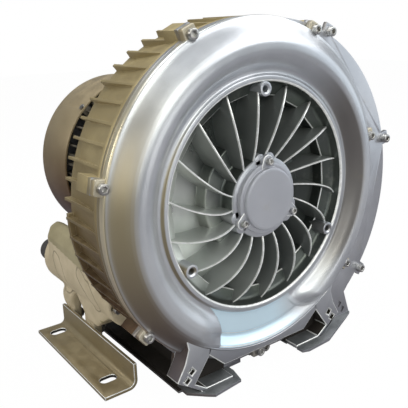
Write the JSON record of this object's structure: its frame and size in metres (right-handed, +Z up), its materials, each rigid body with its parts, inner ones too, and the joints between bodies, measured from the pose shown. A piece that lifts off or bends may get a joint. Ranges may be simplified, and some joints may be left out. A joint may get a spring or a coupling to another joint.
{
  "type": "side channel blower",
  "caption": "Side channel blower with a dished ribbed cover, two silencers with hose ports, a finned motor behind and slotted floor brackets.",
  "frame": {"origin": "centre of the four bracket slots, on the floor", "axes": "+Z up, -Y towards the dished cover, +Y towards the motor, +X to the right seen from the cover"},
  "size_m": [0.5149, 0.427, 0.467],
  "materials": {
    "cover_paint": "satin",
    "casing_paint": "satin",
    "cowl_paint": "satin",
    "box_paint": "satin",
    "zinc_steel": "satin",
    "bearing_steel": "polished",
    "cast_aluminium": "matte",
    "core_steel": "satin",
    "copper_winding": "satin",
    "black_rubber": "matte",
    "fan_plastic": "matte",
    "black_plastic": "satin",
    "silencer_paint": "matte",
    "foam": "matte",
    "bracket_paint": "satin"
  },
  "bodies": {
    "housing": {"bearing_cap": "cover_paint", "bearing_retainer": "cast_aluminium", "bracket_left": "bracket_paint", "bracket_nuts": "zinc_steel", "bracket_right": "bracket_paint", "cable_gland": "black_plastic", "cap_screws": "zinc_steel", "casing_ring": "cover_paint", "casing_ring_screws": "zinc_steel", "cover_screws": "zinc_steel", "cowl_screws": "zinc_steel", "drive_bearing_outer": "bearing_steel", "fan_cowl": "cowl_paint", "frame_screws": "zinc_steel", "front_bearing_outer": "bearing_steel", "front_cover": "cover_paint", "front_winding": "copper_winding", "motor_frame": "casing_paint", "nozzle_screws_left": "zinc_steel", "nozzle_screws_right": "zinc_steel", "nozzle_seal_left": "black_rubber", "nozzle_seal_right": "black_rubber", "port_nozzle_left": "black_plastic", "port_nozzle_right": "black_plastic", "rear_bearing_outer": "bearing_steel", "rear_casing": "casing_paint", "rear_shield": "casing_paint", "rear_winding": "copper_winding", "retainer_screws": "zinc_steel", "shaft_seal": "black_rubber", "shield_screws": "zinc_steel", "silencer_left": "silencer_paint", "silencer_liner_left": "foam", "silencer_liner_right": "foam", "silencer_right": "silencer_paint", "silencer_screws_left": "zinc_steel", "silencer_screws_right": "zinc_steel", "silencer_seal_left": "black_rubber", "silencer_seal_right": "black_rubber", "stator_core": "core_steel", "terminal_block": "black_plastic", "terminal_box": "box_paint", "terminal_lid": "box_paint", "terminal_screws": "zinc_steel", "terminal_seal": "black_rubber"},
    "rotor": {"shaft": "core_steel", "impeller": "cast_aluminium", "impeller_key": "zinc_steel", "impeller_washer": "zinc_steel", "impeller_nut": "zinc_steel", "rotor_core": "core_steel", "rotor_end_rings": "cast_aluminium", "cooling_fan": "fan_plastic", "fan_clip": "zinc_steel", "front_bearing_inner": "bearing_steel", "drive_bearing_inner": "bearing_steel", "rear_bearing_inner": "bearing_steel"}
  },
  "joints": [
    {"name": "rotor_spin", "type": "hinge", "parent": "housing", "child": "rotor", "pos_m": [0, 0, 0.242], "axis": [0, 1, 0], "continuous": true}
  ]
}
